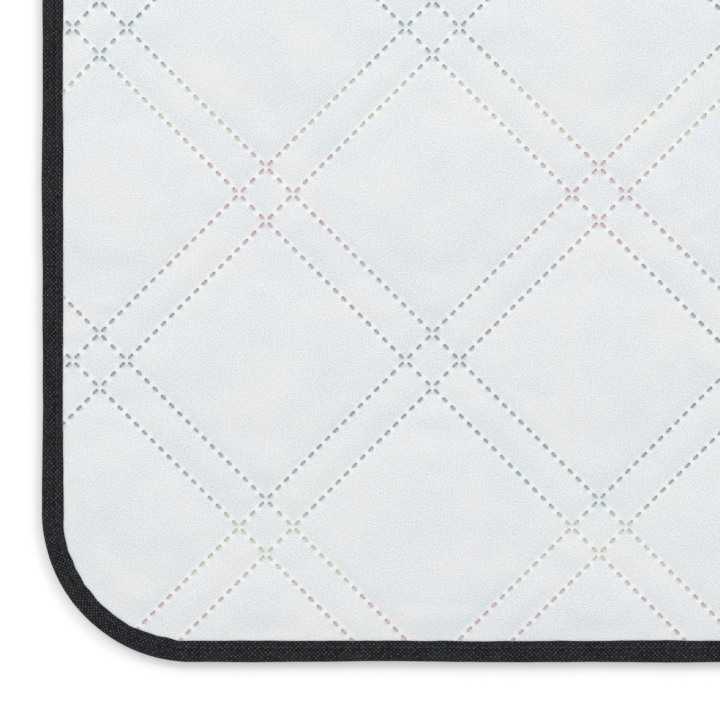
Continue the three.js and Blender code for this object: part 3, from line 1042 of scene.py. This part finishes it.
# %% A tree that sets a shape on every seat
def seat_tree(name, sizes, shape, vary=0.06):
    """shape(start, size) builds one copy from the tree's named inputs; start is an empty wire."""
    tree = bpy.data.node_groups.new(name, "GeometryNodeTree")
    tree.interface.new_socket("Geometry", in_out="INPUT", socket_type="NodeSocketGeometry")
    for key, value in sizes.items():
        kind = "NodeSocketInt" if isinstance(value, int) else "NodeSocketFloat"
        tree.interface.new_socket(key, in_out="INPUT", socket_type=kind)
    tree.interface.new_socket("Material", in_out="INPUT", socket_type="NodeSocketMaterial")
    tree.interface.new_socket("Geometry", in_out="OUTPUT", socket_type="NodeSocketGeometry")
    start = Wire(tree)
    given = start.node("NodeGroupInput").socket.node
    size = {socket.name: Wire(tree, socket) for socket in given.outputs if socket.name}
    lean, run, girth = (
        start.node("GeometryNodeInputNamedAttribute", {"data_type": "FLOAT_VECTOR"}, {"Name": key})
        for key in ("lean", "run", "girth")
    )
    axes = {"primary_axis": "Z", "secondary_axis": "X"}
    turn = start.node("FunctionNodeAxesToRotation", axes, {0: lean, 1: run})
    limits = {2: 1 - vary, 3: 1 + vary, "Seed": 7}
    luck = start.node("FunctionNodeRandomValue", {"data_type": "FLOAT"}, limits, 1)
    scale = start.node("ShaderNodeVectorMath", {"operation": "SCALE"}, {0: girth, "Scale": luck})
    seats = {"Points": size["Geometry"], "Instance": shape(start, size), "Rotation": turn, "Scale": scale}
    copies = start.node("GeometryNodeInstanceOnPoints", None, seats)
    real = start.node("GeometryNodeRealizeInstances", None, {0: copies})
    done = start.node("GeometryNodeSetMaterial", None, {0: real, "Material": size["Material"]})
    tree.links.new(done.socket, tree.nodes.new("NodeGroupOutput").inputs[0])
    return tree, sizes


def grown(name, tree_and_sizes, seats, lean, run, material, girth=(1, 1, 1)):
    """One plain mesh object with the tree's shape on every seat."""
    tree, sizes = tree_and_sizes
    mesh = mesh_of(f"{name}_seats", seats, [])
    for key, vectors in (("lean", lean), ("run", run), ("girth", girth)):
        keep_vectors(mesh, key, np.broadcast_to(vectors, (len(seats), 3)))
    points = show(mesh)
    grow = points.modifiers.new("grow", "NODES")
    grow.node_group = tree
    names = {item.name: item.identifier for item in tree.interface.items_tree if item.in_out == "INPUT"}
    for key, value in sizes.items():
        grow[names[key]] = value
    grow[names["Material"]] = material
    made = bpy.data.meshes.new_from_object(points.evaluated_get(bpy.context.evaluated_depsgraph_get()))
    made.name = name
    bpy.data.objects.remove(points)
    print(f"{name}: {len(seats)} copies, {int(sum(corners_of(made)[1] - 2))} triangles")
    return show(made, name)


# %% [markdown]
# **Weld dashes.** One dash is a shallow dish with blunt ends, and a short wall that sinks into the
# cloth. It starts as a disc; raising its coordinates to a power below one makes it squarer.

# %% Dash shape
def dash_shape(start, size):
    dish = start.node(
        "GeometryNodeMeshCircle", {"fill_type": "TRIANGLE_FAN"}, {"Vertices": size["Corners"], "Radius": 1.0}
    )
    beside = start.node("GeometryNodeInputMeshEdgeNeighbors")
    same = {"data_type": "INT", "operation": "EQUAL"}
    outermost = start.node("FunctionNodeCompare", same, {2: beside, 3: 1})
    wall = {"Mesh": dish, "Selection": outermost, "Offset": (0.0, 0.0, -1.0), "Offset Scale": size["Wall"]}
    dish = start.node("GeometryNodeExtrudeMesh", {"mode": "EDGES"}, wall)
    position = start.node("GeometryNodeInputPosition")
    flat = position.stretched(1, 1, 0)
    x, y, z = position.parts()
    radius = start.node("ShaderNodeVectorMath", {"operation": "LENGTH"}, {0: flat}, 1)
    stored = {"Geometry": dish, "Name": "rim", "Value": radius}
    dish = start.node("GeometryNodeStoreNamedAttribute", {"data_type": "FLOAT", "domain": "POINT"}, stored)
    middle = start.node("FunctionNodeCompare", {"operation": "LESS_THAN"}, {0: radius, 1: 0.5})
    sink = start.node("ShaderNodeCombineXYZ", None, {2: 0 - size["Dip"]})
    dish = start.node("GeometryNodeSetPosition", None, {0: dish, "Selection": middle, "Offset": sink})
    square = [v.math("SIGN", v) * v.math("POWER", abs(v), size["Bluntness"]) for v in (x, y)]
    blunt = start.node("ShaderNodeCombineXYZ", None, {0: square[0], 1: square[1], 2: z})
    dish = start.node("GeometryNodeSetPosition", None, {0: dish, "Position": blunt})
    scale = start.node("ShaderNodeCombineXYZ", None, {0: size["Length"] / 2, 1: size["Width"] / 2, 2: 1.0})
    return start.node("GeometryNodeTransform", None, {0: dish, "Scale": scale})


DASH = {"Corners": 10, "Length": 0.0029, "Width": 0.00118, "Wall": 0.0007, "Dip": 0.00007, "Bluntness": 0.62}
dash_tree = seat_tree("weld_dash_tree", DASH, dash_shape)

# %% Set the dashes
SLANT = math.sqrt(0.5)
on_rising = np.isin(count_a[weld_index] % HALF_DASHES, (WELD_COUNT, HALF_DASHES - WELD_COUNT))
weld_run = np.where(on_rising[:, None], (-SLANT, SLANT, 0), (SLANT, SLANT, 0))
weld_girth = np.where(on_rising[:, None], (0.95, 1.06, 1), (1.02, 0.92, 1))
UNDER_TAPE = 0.0085
clear_of_tape = inside(*cloth_xy[weld_index].T) > UNDER_TAPE
LIFT_UPPER, LIFT_LOWER = 0.00036, 0.00008
for side, seats, lean, lift in (
    ("upper", weld_seats, weld_lean, LIFT_UPPER), ("lower", lower_seats, np.array([[0, 0, -1.0]]), LIFT_LOWER)
):
    seats = seats + lean * lift
    lean = np.broadcast_to(lean, seats.shape)
    for k in range(4):
        kept = clear_of_tape & (panel_pair(seats[:, 0]) == k)
        lie = lean[kept], weld_run[kept]
        dashes = grown(f"{side}_welds_{k + 1}", dash_tree, seats[kept], *lie, weld, weld_girth[kept])
        folds_at(dashes)

# %% [markdown]
# **Stitches.** A lockstitch shows as a row of short swollen threads with a small gap between them.
# Every seam is a path, and a stitch sits in the middle of each step along it.

# %% Stitch shape and seams
def stitch_shape(start, size):
    bead = start.node("GeometryNodeMeshUVSphere", None, {"Segments": 6, "Rings": 4, "Radius": 0.5})
    scale = start.node("ShaderNodeCombineXYZ", None, {0: size["Length"], 1: size["Width"], 2: size["Height"]})
    bead = start.node("GeometryNodeTransform", None, {0: bead, "Scale": scale})
    return start.node("GeometryNodeSetShadeSmooth", None, {0: bead})


STITCH = {"Length": 0.0030, "Width": 0.00050, "Height": 0.00040}
PITCH = 0.0036
stitch_tree = seat_tree("stitch_tree", STITCH, stitch_shape)


def seam(path, closed=False):
    """Stitch seats and directions along a path of points."""
    path = np.asarray(path, float)
    path = np.vstack([path, path[:1]]) if closed else path
    run = np.concatenate([[0], np.cumsum(np.linalg.norm(np.diff(path, axis=0), axis=1))])
    count = max(1, round(run[-1] / PITCH))
    at = (np.arange(count) + 0.5) * run[-1] / count

    def point(s):
        return np.column_stack([np.interp(s, run, path[:, axis]) for axis in range(3)])

    way = point(np.minimum(at + 0.0004, run[-1])) - point(np.maximum(at - 0.0004, 0))
    return point(at), way


tape_path = tape_rows(np.arange(len(stations)))
UPPER_SEAM, LOWER_SEAM = 6, 21  # the section's points in the two grooves
for side, groove, up in (("upper", UPPER_SEAM, 1), ("lower", LOWER_SEAM, -1)):
    seats, way = seam(tape_path[:, groove] + (0, 0, up * 0.00008), closed=True)
    pair = panel_pair(seats[:, 0])
    for k in range(4):
        kept = pair == k
        row = grown(f"tape_stitches_{side}_{k + 1}", stitch_tree, seats[kept], (0, 0, up), way[kept], thread)
        folds_at(row)

# %% [markdown]
# ## Closing flap
#
# The flap is a flat piece of doubled black cloth, sewn on over the tape at one end. It bends twice:
# up the side of the folded pad, and over its top, where its hook tape meets the loop tape. Each
# bend is soft, so the cloth is divided in the middle of the bridge, and each part holds the rows of
# one bend.

# %% Flat pieces
def rounded_rectangle(low, high, start_radius=0.0, end_radius=0.0, segments=7):
    """The outline of a rectangle, with round corners at its low-x end, its high-x end, or both."""
    corners = [
        (low[0], low[1], start_radius, 180), (high[0], low[1], end_radius, 270),
        (high[0], high[1], end_radius, 0), (low[0], high[1], start_radius, 90),
    ]
    outline = []
    for x, y, radius, turn in corners:
        centre_x = x + radius * (1 if x == low[0] else -1)
        centre_y = y + radius * (1 if y == low[1] else -1)
        for angle in np.radians(np.linspace(turn, turn + 90, segments if radius else 1)):
            outline.append((centre_x + radius * math.cos(angle), centre_y + radius * math.sin(angle)))
    return outline


def slab(name, outline, levels, rows, soft=0.0003, sharp_ends=()):
    """A closed flat piece, cut along rows of x and of y, with its rim rounded except at sharp_ends in x."""
    low, high = levels
    build = bmesh.new()
    build.faces.new([build.verts.new((x, y, low)) for x, y in outline])
    for axis, places in enumerate(rows):
        normal = (1, 0, 0) if axis == 0 else (0, 1, 0)
        for place in places:
            everything = [*build.verts, *build.edges, *build.faces]
            bmesh.ops.bisect_plane(
                build, geom=everything, plane_co=Vector(normal) * place, plane_no=normal, dist=1e-7
            )
    grown_part = bmesh.ops.extrude_face_region(build, geom=build.faces[:])["geom"]
    raised = [v for v in grown_part if isinstance(v, bmesh.types.BMVert)]
    bmesh.ops.translate(build, verts=raised, vec=(0, 0, high - low))
    bmesh.ops.recalc_face_normals(build, faces=build.faces)

    def at_sharp_end(edge):
        return any(abs(v.co.x - x) < 1e-6 for x in sharp_ends for v in edge.verts)

    rims = [e for e in build.edges if e.calc_face_angle(0) > 1.2 and not at_sharp_end(e)]
    rims = [e for e in rims if abs(e.verts[0].co.z - e.verts[1].co.z) < 1e-7]
    bmesh.ops.bevel(build, geom=rims, offset=soft, segments=2, profile=0.5, affect="EDGES")
    mesh = bpy.data.meshes.new(name)
    build.to_mesh(mesh)
    build.free()
    mesh.shade_smooth()
    keep_vectors(mesh, "cut", points_of(mesh) * (1, 1, 0))
    return mesh


def even_rows(low, high, step):
    return list(np.arange(low + step, high - step / 2, step))


def lowered(mesh, drop):
    """Moves each point of a mesh down by drop(points)."""
    points = points_of(mesh)
    points[:, 2] -= drop(points)
    mesh.vertices.foreach_set("co", points.astype(np.float32).ravel())
    return mesh


def dressed(mesh, material, replaces):
    piece = show(mesh)
    mesh.materials.append(material)
    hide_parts(*replaces)
    return piece


# %% Flap cloth
BEND_HALF = 0.002
root_low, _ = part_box("flap_root")
_, tongue_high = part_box("flap_tongue")
first_bend, second_bend = joint_at["flap_lift"].x, joint_at["tongue_fold"].x
bridge_middle = (first_bend + second_bend) / 2
flap_levels = (root_low.z, tongue_high.z)
flap_half = tongue_high.y
bend_rows = np.linspace(-BEND_HALF, BEND_HALF, 11)
flap_rows_y = even_rows(-flap_half, flap_half, 0.006)


def flap_part(name, low_x, high_x, bend, end_radius):
    outline = rounded_rectangle((low_x, -flap_half), (high_x, flap_half), end_radius=end_radius)
    rows_x = sorted([*even_rows(low_x, high_x, 0.006), *(bend + bend_rows)])
    mesh = slab(name, outline, flap_levels, (rows_x, flap_rows_y), sharp_ends=(bridge_middle,))

    def ripple(points):
        calm = smooth_step(0.0, 0.012, np.abs(points[:, 0] - first_bend))
        calm = calm * smooth_step(0.0, 0.012, np.abs(points[:, 0] - second_bend))
        return 0.00022 * calm * rolling(points, 0.028, 9)

    return lowered(mesh, ripple)


TONGUE_CORNER = 0.014
near_flap = dressed(
    flap_part("flap_cloth_near", root_low.x, bridge_middle, first_bend, 0.0),
    black_cloth, ["flap_root", "flap_bridge"],
)
far_flap = dressed(
    flap_part("flap_cloth_far", bridge_middle, tongue_high.x, second_bend, TONGUE_CORNER),
    black_cloth, ["flap_tongue"],
)


def bends_first(piece):
    """Bakes the piece's placement into its points."""
    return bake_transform(piece)


def bends_second(piece):
    """Bakes the piece's placement into its points."""
    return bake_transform(piece)


bends_first(near_flap)
bends_second(far_flap)

# %% [markdown]
# ## Hook tape, loop tape and handle
#
# Both tapes are a woven ground with something standing on it: stiff hooks, all leaning the same
# way, or a nap of fine loops that lean at random. The handle is webbing, sewn flat at its two ends.

# %% Hooks and loops
def bent_strand(start, size):
    """A thin strand that rises and bends over."""
    foot, rise, over = size["Height"] * -0.25, size["Height"], size["Reach"]
    path = start.node("GeometryNodeCurveQuadraticBezier", None, {
        "Resolution": 4,
        "Start": start.node("ShaderNodeCombineXYZ", None, {0: over * -0.4, 2: foot}),
        "Middle": start.node("ShaderNodeCombineXYZ", None, {0: 0.0, 2: rise * 1.9}),
        "End": start.node("ShaderNodeCombineXYZ", None, {0: over, 2: rise * size["Droop"]}),
    })
    round_section = {"Resolution": 4, "Radius": size["Thickness"] / 2}
    ring = start.node("GeometryNodeCurvePrimitiveCircle", None, round_section)
    return start.node("GeometryNodeCurveToMesh", None, {0: path, 1: ring, "Fill Caps": True})


HOOK = {"Height": 0.00072, "Reach": 0.00055, "Thickness": 0.00022, "Droop": 0.55}
LOOP = {"Height": 0.00045, "Reach": 0.00070, "Thickness": 0.00010, "Droop": -0.2}
hook_tree = seat_tree("hook_tree", HOOK, bent_strand, vary=0.04)
loop_tree = seat_tree("loop_tree", LOOP, bent_strand, vary=0.3)


def field_of_seats(low, high, step, margin, round_by=0.0):
    """A staggered field of points inside a rectangle, whose high-x corners may be round."""
    xs = np.arange(low.x + margin, high.x - margin, step)
    ys = np.arange(low.y + margin, high.y - margin, step)
    x, y = np.meshgrid(xs, ys, indexing="ij")
    x = x + (np.arange(len(ys)) % 2)[None, :] * step / 2
    x, y = x.ravel(), y.ravel()
    kept = x < high.x - margin
    if round_by:
        beyond = np.maximum(x - (high.x - round_by), 0), np.maximum(np.abs(y) - (high.y - round_by), 0)
        kept = kept & (np.hypot(*beyond) < round_by - margin)
    return np.column_stack([x[kept], y[kept]])


GROUND, GROUND_ROUNDING = 0.0004, 0.00012
SEAM_MARGIN = 0.0025
TAPE_CORNER = 0.008
hook_low, hook_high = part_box("hook_tape")
outline = rounded_rectangle(hook_low, hook_high, end_radius=TAPE_CORNER)
hook_rows = (even_rows(hook_low.x, hook_high.x, 0.006), even_rows(hook_low.y, hook_high.y, 0.008))
hook_levels = (hook_low.z, hook_low.z + GROUND)
hook_ground = dressed(
    slab("hook_tape_ground", outline, hook_levels, hook_rows, GROUND_ROUNDING),
    hook_plastic, ["hook_tape"],
)
hook_xy = field_of_seats(hook_low, hook_high, 0.0016, 0.0042, TAPE_CORNER)
hook_seats = np.column_stack([hook_xy, np.full(len(hook_xy), hook_low.z + GROUND)])
hooks = grown("hook_field", hook_tree, hook_seats, (0, 0, 1), (0, 1, 0), hook_plastic)
for piece in (hook_ground, hooks):
    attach(piece, "flap_tongue_body")

loop_low, loop_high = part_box("loop_tape")
loop_rows = (even_rows(loop_low.x, loop_high.x, 0.004), even_rows(loop_low.y, loop_high.y, 0.004))
loop_levels = (loop_low.z, loop_low.z + GROUND)
loop_outline = rounded_rectangle(loop_low, loop_high)
loop_mesh = slab("loop_tape_ground", loop_outline, loop_levels, loop_rows, GROUND_ROUNDING)


def hug(points):
    """How far the lower face of the loop tape reaches down to the quilted cloth."""
    down = np.maximum(loop_low.z - upper_height(points[:, 0], points[:, 1]) - 0.0002, 0)
    return np.where(points[:, 2] < loop_low.z + GROUND / 2, down, 0)


loop_ground = dressed(lowered(loop_mesh, hug), loop_pile, ["loop_tape"])
loop_xy = field_of_seats(loop_low, loop_high, 0.0017, 0.0042)
loop_seats = np.column_stack([loop_xy, np.full(len(loop_xy), loop_low.z + GROUND)])
turns = np.random.default_rng(11).uniform(0, 2 * math.pi, len(loop_xy))
loop_run = np.column_stack([np.cos(turns), np.sin(turns), np.zeros(len(turns))])
loops = grown("loop_nap", loop_tree, loop_seats, (0, 0, 1), loop_run, loop_pile)
for piece in (loop_ground, loops):
    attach(piece, "panel_5")

# %% Handle
handle_low, handle_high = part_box("handle_webbing")
WEBBING = 0.0016
BOW = handle_high.z - handle_low.z - WEBBING
SEWN_SHARE = 0.4  # of the handle's length, in all
grip_half = handle_high.y * (1 - SEWN_SHARE)
handle_rows = (even_rows(handle_low.x, handle_high.x, 0.004), even_rows(handle_low.y, handle_high.y, 0.003))
handle_levels = (handle_high.z - WEBBING, handle_high.z)
handle_mesh = slab("handle", rounded_rectangle(handle_low, handle_high), handle_levels, handle_rows, 0.0005)
handle = dressed(
    lowered(handle_mesh, lambda points: BOW * np.maximum(1 - (points[:, 1] / grip_half) ** 2, 0)),
    black_webbing, ["handle_webbing"],
)
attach(handle, "flap_bridge_body")

# %% [markdown]
# The seams that hold these pieces: two rows across the root, one round the flap's free edges, one
# round each tape, and a crossed box at each end of the handle.

# %% Seams of the flap
def box_path(low, high, z, margin):
    """A rectangle inside another, as a closed path."""
    x0, y0, x1, y1 = low[0] + margin, low[1] + margin, high[0] - margin, high[1] - margin
    return [(x0, y0, z), (x1, y0, z), (x1, y1, z), (x0, y1, z), (x0, y0, z)]


def sewn_on(name, paths, up, hold):
    """Stitches along paths, on the upper side or the lower side, handed to the call hold."""
    found = [seam(path) for path in paths]
    seats, way = (np.vstack([pair[i] for pair in found]) for i in range(2))
    row = grown(name, stitch_tree, seats, (0, 0, up), way, thread)
    return hold(row)


EDGE_MARGIN = 0.003
TURN_CORNER = TONGUE_CORNER - EDGE_MARGIN
edge_y = flap_half - EDGE_MARGIN
end_x = tongue_high.x - EDGE_MARGIN
turn_points = rounded_rectangle((bridge_middle, -edge_y), (end_x, edge_y), end_radius=TURN_CORNER)[1:-1]
for side, z, up in (("upper", flap_levels[1] + 0.00005, 1), ("lower", flap_levels[0] - 0.00005, -1)):
    root_rows = [[(root_low.x + d, -edge_y, z), (root_low.x + d, edge_y, z)] for d in (0.0025, 0.0075)]
    edge_rows = [[(root_low.x + 0.0025, y, z), (bridge_middle, y, z)] for y in (-edge_y, edge_y)]
    turn = [(x, y, z) for x, y in turn_points]
    round_tongue = [(bridge_middle, -edge_y, z), *turn, (bridge_middle, edge_y, z)]
    hook_box = box_path(hook_low, hook_high, hook_low.z + GROUND if up > 0 else z, SEAM_MARGIN)
    near_paths = root_rows + edge_rows if up > 0 else edge_rows
    sewn_on(f"flap_stitches_near_{side}", near_paths, up, bends_first)
    sewn_on(f"flap_stitches_far_{side}", [round_tongue, hook_box], up, bends_second)

handle_z = handle_high.z - WEBBING - 0.00005
boxes = []
for y0, y1 in ((-handle_high.y, -grip_half), (grip_half, handle_high.y)):
    low, high = (handle_low.x, y0), (handle_high.x, y1)
    square = box_path(low, high, handle_z, 0.0035)
    boxes += [square, [square[0], square[2]], [square[1], square[3]]]
sewn_on("handle_stitches", boxes, -1, lambda row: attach(row, "flap_bridge_body"))
over_flap = [[(x, y, flap_levels[1] + 0.00005) for x, y, _ in path] for path in boxes]
sewn_on("handle_stitches_over", over_flap, 1, lambda row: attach(row, "flap_bridge_body"))
loop_box = box_path(loop_low, loop_high, loop_low.z + GROUND, SEAM_MARGIN)
sewn_on("loop_tape_stitches", [loop_box], 1, lambda row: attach(row, "panel_5"))

# %% [markdown]
# ## Floor and finish
#
# A large pale floor lies a hair under the pad, so the two never fight over the same plane.

# %% Floor
def paint_floor(place, cut):
    return place.noise(0.4, 0).mixed((0.93, 0.93, 0.93), (0.95, 0.95, 0.95)), 0.9, None


FLOOR_HALF, FLOOR_Z = 6, -0.0002
floor_corners = [(x * FLOOR_HALF, y * FLOOR_HALF, FLOOR_Z) for x, y in ((-1, -1), (1, -1), (1, 1), (-1, 1))]
floor = show(mesh_of("floor", floor_corners, [(0, 1, 2, 3)]))
floor.data.materials.append(finish_of("floor", paint_floor))
